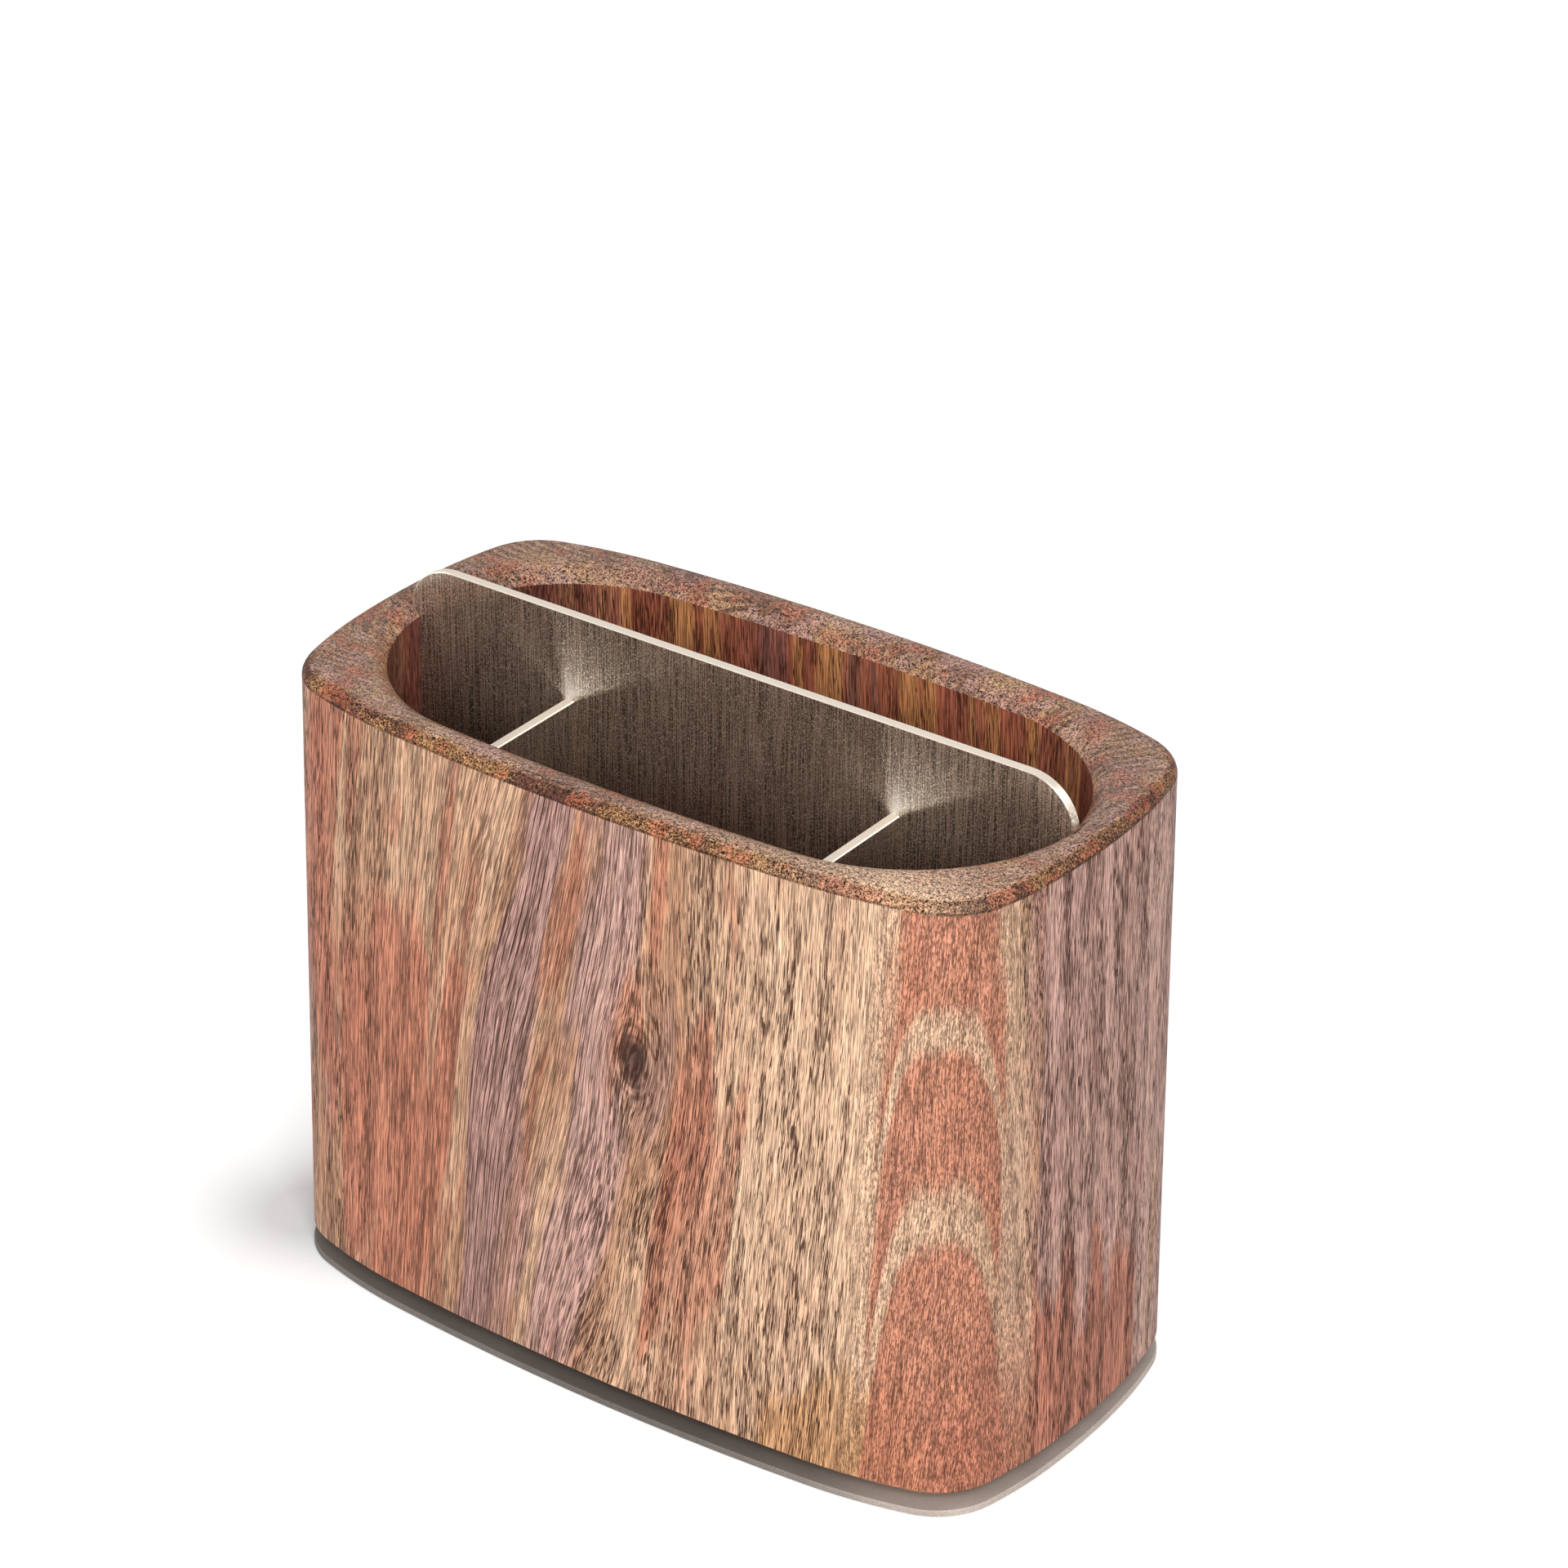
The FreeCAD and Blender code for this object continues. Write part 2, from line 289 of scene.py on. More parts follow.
# %% Grain and knots
MIDDLE_HEIGHT = 80.0                # leaning grain is measured from here
SLOW_SWAY = (45.0, 110.0, 0.0)
SLOW_SWAY_MM = 6.0
QUICK_SWAY = (9.0, 45.0, 5.0)
QUICK_SWAY_MM = 1.1
KNOT_PUSH = -0.75                   # share of the distance from the knot
PUSH_ACROSS = 0.26                  # how fast the push fades, for each knot radius
PUSH_ALONG = 0.14
EYE_ALONG = 0.55                    # the eye is longer than wide
KNOT_RING_SQUASH = 0.36
KNOT_RING_TURN = 3.6                # radians for each millimetre
KNOT_RING_STEP = (-0.2, 0.9)
KNOT_RING_REACH = 2.6               # knot radii


def quick_sway(tree, point, seed):
    return spots(tree, point, QUICK_SWAY, seed)


def grain_line(tree, point, seed, lean, leans, knots):
    """X of the grain line through each point."""
    x, y, z = point
    rise = subtract(tree, z, MIDDLE_HEIGHT)
    grain_x = subtract(tree, x, times(tree, rise, lean))
    for lean_x, half_width, slope in leans:
        near = bell(tree, times(tree, subtract(tree, x, lean_x), 1.0 / half_width))
        grain_x = subtract(tree, grain_x, times(tree, rise, times(tree, near, slope)))
    for knot_x, knot_z, radius in knots:
        across = subtract(tree, x, knot_x)
        along = subtract(tree, z, knot_z)
        near = bell(tree, times(tree, across, PUSH_ACROSS / radius), times(tree, along, PUSH_ALONG / radius))
        grain_x = add(tree, grain_x, times(tree, times(tree, across, near), KNOT_PUSH))
    slow = centred(tree, spots(tree, point, SLOW_SWAY, seed))
    quick = centred(tree, quick_sway(tree, point, seed))
    grain_x = add(tree, grain_x, times(tree, slow, SLOW_SWAY_MM))
    return add(tree, grain_x, times(tree, quick, QUICK_SWAY_MM))


def knot_marks(tree, point, knots):
    """Where the dark eyes of the knots are, and the rings round them."""
    x, y, z = point
    eyes = 0.0
    rings = 0.0
    for knot_x, knot_z, radius in knots:
        across = subtract(tree, x, knot_x)
        along = subtract(tree, z, knot_z)
        eye = bell(tree, times(tree, across, 1.0 / radius), times(tree, along, EYE_ALONG / radius))
        eyes = larger(tree, eyes, eye)
        away = distance(tree, across, along, KNOT_RING_SQUASH)
        wave = step(tree, sums(tree, "SINE", times(tree, away, KNOT_RING_TURN)), *KNOT_RING_STEP)
        near = step(tree, away, KNOT_RING_REACH * radius, radius)
        rings = larger(tree, rings, times(tree, wave, near))
    return eyes, rings


# %% [markdown]
# ### Growth rings
# A ring is pale at first and darker at its end, the late wood, and then starts again at once. The rings
# could be drawn as lines on each face, but wouldn't meet the arcs on the rim. So they are cylinders round
# the pith, which lies outside the board, and the faces cut them into long gentle lines.

# %% Growth rings
RING_DARKENS = (0.15, 0.85)         # shares of a ring
RING_ENDS = (0.93, 1.0, 1.0, 0.0)
RING_SWAY = 0.5                     # rings


def late_wood(tree, grain_point, quick, pith, ring):
    """0 in early wood, 1 in late wood."""
    grain_x, y, z = grain_point
    radius = distance(tree, subtract(tree, grain_x, pith[0]), subtract(tree, y, pith[1]))
    rings = add(tree, times(tree, radius, 1 / ring), times(tree, quick, RING_SWAY))
    phase = sums(tree, "FRACT", rings)
    return times(tree, step(tree, phase, *RING_DARKENS), step(tree, phase, *RING_ENDS))


# %% [markdown]
# ### Colour zones and streaks
# Wide soft zones come from noise. The streaks that this caddy is known by could be left to chance too,
# but are placed one by one along the grain lines, so that they stand where they should. Noise makes their
# edges ragged.

# %% Colour zones and streaks
ZONE = (15.0, 130.0, 7.3)
OTHER_ZONE = (9.0, 70.0, 19.1)
CREAM_ZONE = (0.45, 0.62, 0.0, 0.55)
SALMON_ZONE = (0.54, 0.62, 0.0, 0.65)
PURPLE_ZONE = (0.44, 0.36, 0.0, 0.55)
STREAK_WANDER = 2.4                 # how ragged the edge of a streak is
STREAK_EDGE = (0.20, 0.42)


def zone_colours(tree, zone, other):
    """Tan with soft zones of the other colours."""
    colour = blend(tree, step(tree, zone, *CREAM_ZONE), TAN, CREAM)
    colour = blend(tree, step(tree, other, *SALMON_ZONE), colour, SALMON)
    return blend(tree, step(tree, zone, *PURPLE_ZONE), colour, PURPLE)


def add_streaks(tree, colour, grain_point, other, streaks):
    """Lay the streaks over the colour. Also gives where the purple ones are."""
    grain_x, y, z = grain_point
    purple = 0.0
    for streak_x, streak_z, half_width, half_height, tint, amount in streaks:
        wander = times(tree, centred(tree, other), STREAK_WANDER)
        across = add(tree, times(tree, subtract(tree, grain_x, streak_x), 1 / half_width), wander)
        along = add(tree, times(tree, subtract(tree, z, streak_z), 1 / half_height), wander)
        near = times(tree, step(tree, bell(tree, across, along), *STREAK_EDGE), amount)
        colour = blend(tree, near, colour, tint)
        if tint in (PURPLE, MAUVE):
            purple = larger(tree, purple, near)
    return colour, purple


# %% [markdown]
# ### Arches
# At the front right corner the rounding cuts through the rings, and each ring then shows as a red pointed
# arch in a pale border, one below the other. Rings round a pith would give them by themselves only if
# the tree's taper and bend were known, so they are drawn: from the distance below the first arch's top
# and the distance aside. They grow longer downwards, because the cut gets flatter.

# %% Arches
ARCH_HALF_WIDTH = 10.5              # where the side of an arch has fallen by ARCH_FALL
ARCH_FALL = 14.0
ARCH_BLUNTNESS = 3.5                # higher is more square
ARCH_SLANT = 0.7                    # aside is measured at half a right angle to X and Y
ARCH_SWAY = 12.0
ARCH_DEPTHS = (3.0, 118.0)          # below the top, where the arches start and stop
FIRST_ARCH = 29.0                   # length
ARCH_GROWTH = 20.0                  # how much longer each next one is
ARCH_OPENS = (0.0, 0.12)            # shares of one arch
ARCH_CLOSES = (0.70, 0.88, 1.0, 0.0)
ARCH_SPREAD = 0.045                 # wider downwards
ARCH_RAGGED = 8.0
ARCH_RED = 0.82
RED_FULL = 0.80                     # these four are shares of the reach
SPECKS_END = 1.4
BORDER_FULL = 1.3
BORDER_END = 1.7
BORDER_CREAM = 0.60
BORDER_FADES = (12.0, 50.0, 0.15, 1.0)      # the border is lost towards the foot


def add_arches(tree, colour, point, quick, other, arches):
    """Lay the arches over the colour. Also gives where they are, borders included."""
    x, y, z = point
    start = FIRST_ARCH - ARCH_GROWTH / 2
    speckled = 0.0
    for arch_x, arch_y, reach, top in arches:
        aside = times(tree, add(tree, subtract(tree, x, arch_x), subtract(tree, y, arch_y)), ARCH_SLANT)
        share = times(tree, size_of(tree, aside), 1 / ARCH_HALF_WIDTH)
        fall = times(tree, sums(tree, "POWER", share, ARCH_BLUNTNESS), ARCH_FALL)
        below = subtract(tree, top, add(tree, z, fall))
        below = add(tree, below, times(tree, centred(tree, quick), ARCH_SWAY))
        below = larger(tree, sums(tree, "MINIMUM", below, ARCH_DEPTHS[1]), ARCH_DEPTHS[0])
        root = sums(tree, "SQRT", add(tree, times(tree, below, 2 * ARCH_GROWTH), start ** 2))
        turn = sums(tree, "FRACT", times(tree, subtract(tree, root, start), 1 / ARCH_GROWTH))
        inside = times(tree, step(tree, turn, *ARCH_OPENS), step(tree, turn, *ARCH_CLOSES))
        spread = times(tree, larger(tree, subtract(tree, top, z), 0.0), ARCH_SPREAD)
        side = subtract(tree, size_of(tree, aside), spread)
        side = add(tree, side, times(tree, centred(tree, other), ARCH_RAGGED))
        red = times(tree, step(tree, side, reach, RED_FULL * reach), inside)
        speckled = step(tree, side, SPECKS_END * reach, reach)
        border = step(tree, side, BORDER_END * reach, BORDER_FULL * reach)
        border = times(tree, border, step(tree, z, *BORDER_FADES))
        colour = blend(tree, times(tree, border, BORDER_CREAM), colour, CREAM)
        colour = blend(tree, times(tree, red, ARCH_RED), colour, SALMON)
    return colour, speckled


# %% [markdown]
# ### Pores
# Pores are the tree's water pipes, cut open. Where the cut crosses them at a slant they are short dashes,
# where it runs along them they are long fine lines, and in the arches they are specks. Dashes and specks
# are drawn-out noise with a sharp edge. Noise doesn't run on far enough for the lines, so they are
# stripes across the grain lines, broken here and there.

# %% Pores
CROWD = (4.0, 40.0, 3.1)            # pores stand closer in some places
CROWDED = (0.36, 0.64)
CROWD_GAIN = 0.12
LATE_GAIN = 0.04
DASH = (0.20, 5.0, 11.0)
DASH_EDGE = (0.635, 0.69)
LINE_SPACING = 1.5
LINE_DRIFT = (3.0, 60.0, 13.0)
LINE_DRIFT_TURNS = 1.1
LINE_EDGE = (0.05, 0.13, 1.0, 0.0)
LINE_BREAK = (0.9, 14.0, 15.0)
LINE_BREAK_EDGE = (0.36, 0.50)
LINE_DARK = 0.60
LINE_DARKER_IN_PURPLE = 0.60
LINES_EDGE = (0.2, 0.6)
DASHES_LOST = 0.30                  # among the lines
SPECK = (0.28, 1.3, 17.0)
SPECK_EDGE = (0.48, 0.62, 0.0, 0.65)


def open_pores(tree, grain_point, late, seed, porous, purple, speckled, lined_places):
    """1 in a pore, 0 between."""
    grain_x, y, z = grain_point
    crowd = spots(tree, grain_point, CROWD, seed, detail=2.0)
    level = add(tree, step(tree, crowd, *CROWDED, porous, porous + CROWD_GAIN), times(tree, late, LATE_GAIN))
    pore = step(tree, add(tree, spots(tree, grain_point, DASH, seed), level), *DASH_EDGE)

    drift = times(tree, spots(tree, grain_point, LINE_DRIFT, seed), LINE_DRIFT_TURNS)
    turn = sums(tree, "FRACT", add(tree, times(tree, grain_x, 1 / LINE_SPACING), drift))
    line = step(tree, size_of(tree, centred(tree, turn)), *LINE_EDGE)
    broken = step(tree, spots(tree, grain_point, LINE_BREAK, seed), *LINE_BREAK_EDGE)
    dark = add(tree, LINE_DARK, times(tree, purple, LINE_DARKER_IN_PURPLE))
    line = times(tree, times(tree, line, broken), dark)
    for line_x, half_width in lined_places:
        near = bell(tree, times(tree, subtract(tree, grain_x, line_x), 1 / half_width))
        near = step(tree, near, *LINES_EDGE)
        pore = times(tree, pore, subtract(tree, 1.0, times(tree, near, DASHES_LOST)))
        pore = larger(tree, pore, times(tree, line, near))

    specks = step(tree, spots(tree, grain_point, SPECK, seed), *SPECK_EDGE)
    return blend_number(tree, speckled, pore, specks)


# %% [markdown]
# ### End grain on the rim
# The rim shows cut ends: a fine dark grit over red, mauve and tan patches, with arcs of late wood. The
# small rounding of its outer edge was burnished dark by the sanding belt, and the pale corner is where
# the light part of the board comes up. The rim could get a material of its own, but that would end at a
# hard line. It is found by the surface's own normal instead, by how far that turns up or down.

# %% End grain
CUT_ENDS = (0.04, 0.14)             # how far the normal turns up or down, at most 1
OUTWARD = (2.0, 12.0)               # millimetres from the middle, along the normal
BURNISHED_ENDS = (0.84, 0.97, 1.0, 0.0)
GRIT_PER_MM = 2.6
COARSE_GRIT_PER_MM = 1.1
PATCHES_PER_MM = 0.07
BLOTCHES_PER_MM = 0.13
ARC_GAIN = 0.24
ARCS = (0.50, 0.64)
PURPLE_ENDS = (0.50, 0.58, 0.0, 0.40)
RED_ENDS = (0.53, 0.61, 0.0, 0.70)
MAUVE_ENDS = (0.44, 0.36, 0.0, 0.55)
CUT_AMOUNT = 0.78
STAIN_PATCHES = 1.2
STAIN_EDGE = (0.49, 0.64)
RED_STAIN = (0.50, 0.57, 0.0, 0.60)
STAIN_AMOUNT = 0.86
PALE_CORNER_SHIFT = -12.0           # from the arches
PALE_CORNER_X = 0.030               # how fast it fades, for each millimetre
PALE_CORNER_Y = 0.06
BURNISHED_KEEPS = 0.7
GRIT_SHADE = (0.38, 0.62, 0.30, 1.55)
COARSE_SHADE = (0.36, 0.64, -0.36, 0.30)
LOWER_EDGE_PAINTED_SHADE = (0.10, 0.32, 0.5, 1.0)


def facing_masks(tree, point):
    """How far the surface turns up and out, and where that makes it end grain, outer or burnished."""
    x, y, z = point
    normal_x, normal_y, normal_z = split(tree, surface_normal(tree))
    upward = size_of(tree, normal_z)
    end_grain = step(tree, upward, *CUT_ENDS)
    outness = add(tree, times(tree, normal_x, x), times(tree, normal_y, y))
    outward = step(tree, outness, *OUTWARD)
    burnished = times(tree, times(tree, end_grain, outward), step(tree, upward, *BURNISHED_ENDS))
    return SimpleNamespace(upward=upward, outness=outness, end_grain=end_grain, outward=outward,
                           burnished=burnished)


def add_end_grain(tree, colour, point, facing, grit, late, other, seed, arches):
    """Lay the cut ends and the burnished edge over the colour."""
    x, y, z = point
    patch = crumbs(tree, point, PATCHES_PER_MM)
    blotch = crumbs(tree, point, BLOTCHES_PER_MM, seed)
    arcs = step(tree, add(tree, times(tree, late, ARC_GAIN), patch), *ARCS)
    cut = blend(tree, arcs, END_GRAIN, END_GRAIN_LIGHT)
    cut = blend(tree, step(tree, other, *PURPLE_ENDS), cut, PURPLE)
    cut = blend(tree, step(tree, blotch, *RED_ENDS), cut, RED_BLOTCH)
    cut = blend(tree, step(tree, blotch, *MAUVE_ENDS), cut, MAUVE)
    colour = blend(tree, times(tree, facing.end_grain, CUT_AMOUNT), colour, cut)

    golden = add(tree, grit, times(tree, centred(tree, patch), STAIN_PATCHES))
    stain = blend(tree, step(tree, golden, *STAIN_EDGE), BURNISHED, STAIN_GOLD)
    stain = blend(tree, step(tree, blotch, *RED_STAIN), stain, RED_BLOTCH)
    colour = blend(tree, times(tree, facing.burnished, STAIN_AMOUNT), colour, stain)
    for arch_x, arch_y, reach, top in arches:
        corner = bell(tree, times(tree, subtract(tree, x, arch_x + PALE_CORNER_SHIFT), PALE_CORNER_X),
                      times(tree, subtract(tree, y, arch_y), PALE_CORNER_Y))
        clear = subtract(tree, 1.0, times(tree, facing.burnished, BURNISHED_KEEPS))
        colour = blend(tree, times(tree, times(tree, facing.end_grain, clear), corner), colour, CREAM)

    gritty = add(tree, step(tree, grit, *GRIT_SHADE),
                 step(tree, crumbs(tree, point, COARSE_GRIT_PER_MM), *COARSE_SHADE))
    # Painted shade: a darker line along the lower edge of the outer rounding.
    gritty = times(tree, gritty, step(tree, facing.upward, *LOWER_EDGE_PAINTED_SHADE))
    return blend(tree, facing.end_grain, colour, shaded(tree, colour, gritty))


# %% [markdown]
# ### The wall of the well
# It is painted darker and redder than the outside, in upright stripes, and darkest in the narrow left end:
# painted shade. It is the same board, so it keeps fibres and pores, and only its colour is laid over. It
# faces the middle of the caddy, so the normal finds it too.

# %% Wall of the well
WELL_FACES = (0.0, -4.0)            # as for OUTWARD, and negative because it faces inwards
WELL_UPRIGHT = (0.50, 0.60, 1.0, 0.0)
WELL_STRIPE = (5.0, 90.0, 29.0)
WELL_GOLD_STRIPE = (0.54, 0.62, 0.0, 0.85)
WELL_PURPLE_STRIPE = (0.42, 0.34, 0.0, 0.70)
# Painted shade of the well's wall, deepest in the narrow left end.
WELL_SHADE_END = (-58.0, -80.0, 0.0, 0.85)
WELL_SHADE_AMOUNT = 0.85


def add_well_wall_shade(tree, colour, grain_point, x, facing, brightness, seed):
    """Lay the painted shade of the well's wall over the rest."""
    inner = times(tree, step(tree, facing.outness, *WELL_FACES), step(tree, facing.upward, *WELL_UPRIGHT))
    stripe = spots(tree, grain_point, WELL_STRIPE, seed)
    wall = blend(tree, step(tree, stripe, *WELL_GOLD_STRIPE), WELL_SHADE_RED, WELL_SHADE_GOLD)
    wall = blend(tree, step(tree, stripe, *WELL_PURPLE_STRIPE), wall, WELL_SHADE_PURPLE)
    wall = blend(tree, step(tree, x, *WELL_SHADE_END), wall, WELL_SHADE)
    return blend(tree, times(tree, inner, WELL_SHADE_AMOUNT), colour, shaded(tree, wall, brightness))


# %% [markdown]
# ### The whole finish
# Colour first, from the zones to the pores, then the shine. The oil lies in the wood rather than on it,
# so the faces are dull. The inward rounding of the rim is polished by hands, which is a thin clear coat.

# %% Wood
LATE_AMOUNT = 0.20
KNOT_RING_AMOUNT = 0.55
KNOT_EDGE = (0.10, 0.6)
KNOT_AMOUNT = 0.92
FIBRE = (0.24, 8.0, 0.0)
FIBRE_SHADE = (0.36, 0.64, 0.48, 1.40)
WIDE_FIBRE = (2.2, 60.0, 2.0)
WIDE_FIBRE_SHADE = (0.3, 0.7, -0.10, 0.10)
PORES_ON_ENDS = (0.04, 0.30, 1.0, 0.35)
PORE_AMOUNT = 0.92
ROUGHNESS = 0.40
FIBRE_ROUGHNESS = 0.16
PORE_ROUGHNESS = 0.2
FIBRE_HEIGHT = 0.4
GRIT_DEPTH = 0.5
RELIEF_METRES = 0.00015
RELIEF_STRENGTH = 0.8
SHINE = 0.12
POLISH = 0.30
POLISH_ROUGHNESS = 0.22


def wood(name, pith, ring, seed, lean=0.0, leans=(), knots=(), streaks=(), arches=(), lined_places=(),
         porous=0.0):
    """Oiled open-pored wood, with its grain along Z.

    pith: X and Y of the middle of the rings. ring: their width. lean: slope of the grain towards +X.
    leans: (x, half width, slope), more slope near x. knots: (x, z, radius).
    streaks: (x, z, half width, half height, colour, amount), along the grain.
    arches: (x, y, reach, height of the first). lined_places: (x, half width), where the pores run on as
    long lines. porous: more pores above 0.
    """
    material, tree, shader = new_material(name)
    point = place_in_mm(tree)
    x, y, z = point
    grain_point = (grain_line(tree, point, seed, lean, leans, knots), y, z)
    quick = quick_sway(tree, point, seed)
    late = late_wood(tree, grain_point, quick, pith, ring)
    zone = spots(tree, grain_point, ZONE, seed, detail=2.0)
    other = spots(tree, grain_point, OTHER_ZONE, seed, detail=2.0)

    colour, purple = add_streaks(tree, zone_colours(tree, zone, other), grain_point, other, streaks)
    colour, speckled = add_arches(tree, colour, point, quick, other, arches)
    colour = blend(tree, times(tree, late, LATE_AMOUNT), colour, LATE_WOOD)
    eyes, rings = knot_marks(tree, point, knots)
    colour = blend(tree, times(tree, rings, KNOT_RING_AMOUNT), colour, KNOT)
    colour = blend(tree, times(tree, step(tree, eyes, *KNOT_EDGE), KNOT_AMOUNT), colour, KNOT)

    fibre = spots(tree, grain_point, FIBRE, seed, detail=2.0)
    wide_fibre = spots(tree, grain_point, WIDE_FIBRE, seed, detail=2.0)
    brightness = add(tree, step(tree, fibre, *FIBRE_SHADE), step(tree, wide_fibre, *WIDE_FIBRE_SHADE))
    colour = shaded(tree, colour, brightness)

    facing = facing_masks(tree, point)
    grit = crumbs(tree, point, GRIT_PER_MM)
    colour = add_end_grain(tree, colour, point, facing, grit, late, other, seed, arches)
    colour = add_well_wall_shade(tree, colour, grain_point, x, facing, brightness, seed)
    pore = open_pores(tree, grain_point, late, seed, porous, purple, speckled, lined_places)
    pore = times(tree, pore, step(tree, facing.upward, *PORES_ON_ENDS))
    colour = blend(tree, times(tree, pore, PORE_AMOUNT), colour, PORE)
    feed(tree, shader.inputs["Base Color"], colour)

    rough = add(tree, ROUGHNESS, times(tree, fibre, FIBRE_ROUGHNESS))
    feed(tree, shader.inputs["Roughness"], add(tree, rough, times(tree, pore, PORE_ROUGHNESS)))
    relief = subtract(tree, times(tree, fibre, FIBRE_HEIGHT), pore)
    relief = subtract(tree, relief, times(tree, facing.end_grain, times(tree, grit, GRIT_DEPTH)))
    feed(tree, shader.inputs["Normal"], bump(tree, relief, RELIEF_METRES, RELIEF_STRENGTH))
    shader.inputs["Specular IOR Level"].default_value = SHINE
    polished = times(tree, facing.end_grain, subtract(tree, 1.0, facing.outward))
    feed(tree, shader.inputs["Coat Weight"], times(tree, polished, POLISH))
    shader.inputs["Coat Roughness"].default_value = POLISH_ROUGHNESS
    return material


# %% [markdown]
# ### The boards
# One finish serves them all, with its own pith, ring width and seed for each, because each comes from
# another part of the tree. Only the floor of the well, which is hardly seen, shares the back board's. The
# front board has the marks that people notice: two purple streaks full of fine lines, a knot, a cream
# part and the arches.

# %% Boards
front_wood = wood(
    "front_board_wood", pith=(-85.0, 131.0), ring=2.2, seed=1.7, lean=0.06,
    leans=[(-12.0, 30.0, 0.17)],
    knots=[(13.0, 97.0, 4.2)],
    streaks=[
        (-25.0, 90.0, 9.0, 200.0, PURPLE, 0.88),
        (1.0, 100.0, 10.5, 170.0, MAUVE, 0.85),
        (-62.0, 46.0, 26.0, 68.0, SALMON, 0.88),
        (27.0, 84.0, 9.0, 30.0, SALMON, 0.70),
        (-86.0, 110.0, 8.0, 90.0, SALMON, 0.80),
        (40.0, 60.0, 14.0, 110.0, CREAM, 0.45),
        (30.0, 60.0, 12.0, 40.0, SALMON, 0.60),
        (62.0, 100.0, 24.0, 120.0, CREAM, 0.80),
        (74.0, 2.0, 30.0, 34.0, GOLD, 0.65),
        (102.0, 0.0, 9.0, 62.0, SALMON, 0.85),
    ],
    arches=[(92.0, -46.0, 11.5, 153.0)],
    lined_places=[(-30.0, 45.0)])
back_wood = wood(
    "back_board_wood", pith=(-70.0, 150.0), ring=2.6, seed=24.3, lean=-0.04,
    streaks=[
        (30.0, 90.0, 12.0, 90.0, SALMON, 0.6),
        (104.0, 95.0, 20.0, 200.0, MAUVE, 0.8),
        (-60.0, 90.0, 9.0, 90.0, MAUVE, 0.8),
    ])
left_wood = wood("left_block_wood", pith=(-20.0, 20.0), ring=3.4, seed=41.9, porous=0.04)
right_wood = wood(
    "right_block_wood", pith=(30.0, 20.0), ring=3.6, seed=63.2, porous=0.04,
    streaks=[
        (100.0, 95.0, 90.0, 200.0, MAUVE, 0.80),
        (100.0, 2.0, 90.0, 52.0, SALMON, 0.92),
    ])
dress(front_wood, "front_board")
dress(back_wood, "back_board", "floor_board")
dress(left_wood, "left_end_block")
dress(right_wood, "right_end_block")

# %% [markdown]
# ## The steel
# The steel is sheet, brushed from top to bottom. Fine upright scratches spread a reflection sideways.
# Bump alone could do it only with far finer noise than a render can show, so the shader's anisotropy does
# it, with a tangent that lies level in the sheet. Bright specks are scratches that catch the light. Low
# down, and so deep in the well, the steel is painted duller and browner, a painted shade, the more so the
# more metallic it is.

# %% Brushed steel
SCRATCH = (0.24, 16.0, 3.0)
SCRATCHES = (0.34, 0.66)
SCRATCH_DARK = 1.5                  # for a grain of 1
GLINT = (0.20, 0.42, 8.0)
GLINTS = (0.54, 0.68)
GLINT_DARK = -1.1
GLINT_BRIGHT = 6.5
CLOUD = (22.0, 30.0, 5.0)
CLOUD_SHADE = (0.3, 0.7, 0.90, 1.10)
PAINTED_LIGHT_FROM = 40.0
PAINTED_LIGHT_OVER = 60.0
PAINTED_SHADE_TINT = (0.62, 0.48, 0.35)
PAINTED_SHADE_HEIGHTS = (128.0, 68.0, 0.0, 0.80)         # heights
SCRATCH_ROUGHNESS = 0.10
NEARLY_UP = (0.001, 0.0, 1.0)
STEEL_RELIEF_METRES = 0.00002
STEEL_RELIEF_STRENGTH = 0.6


def brushed_steel(name, colour, roughness, spread, grain=0.30, painted_light=0.0, metallic=1.0):
    """Sheet steel brushed along Z. Also gives its tree, shader and shade, for more to be laid over.

    spread: anisotropy. grain: strength of the scratches. painted_light: painted light past
    PAINTED_LIGHT_FROM.
    """
    material, tree, shader = new_material(name)
    point = place_in_mm(tree)
    x, y, z = point
    scratches = spots(tree, point, SCRATCH, detail=2.0)
    glints = spots(tree, point, GLINT)
    cloud = spots(tree, point, CLOUD, detail=2.0)
    bright = add(tree, step(tree, scratches, *SCRATCHES, 1.0 - SCRATCH_DARK * grain, 1.0 + grain),
                 step(tree, glints, *GLINTS, GLINT_DARK * grain, GLINT_BRIGHT * grain))
    bright = times(tree, bright, step(tree, cloud, *CLOUD_SHADE))
    # Painted light: brighter towards +X, where the key lights it.
    bright = times(tree, bright, step(tree, x, PAINTED_LIGHT_FROM, PAINTED_LIGHT_FROM + PAINTED_LIGHT_OVER, 1.0, 1.0 + painted_light))
    shade = shaded(tree, colour, bright)
    # Painted shade: darker and browner low down, the more so the more metallic.
    low = times(tree, step(tree, z, *PAINTED_SHADE_HEIGHTS), metallic)
    shade = blend(tree, low, shade, blend(tree, 1.0, shade, PAINTED_SHADE_TINT, kind="MULTIPLY"))
    feed(tree, shader.inputs["Base Color"], shade)
    shader.inputs["Metallic"].default_value = metallic

    rough = add(tree, roughness - SCRATCH_ROUGHNESS / 2, times(tree, scratches, SCRATCH_ROUGHNESS))
    feed(tree, shader.inputs["Roughness"], rough)
    shader.inputs["Anisotropic"].default_value = spread
    level = tree.nodes.new("ShaderNodeVectorMath")
    level.operation = "CROSS_PRODUCT"
    level.inputs[0].default_value = NEARLY_UP
    feed(tree, level.inputs[1], surface_normal(tree))
    feed(tree, shader.inputs["Tangent"], level.outputs[0])
    feed(tree, shader.inputs["Normal"], bump(tree, scratches, STEEL_RELIEF_METRES, STEEL_RELIEF_STRENGTH))
    return material, tree, shader, shade
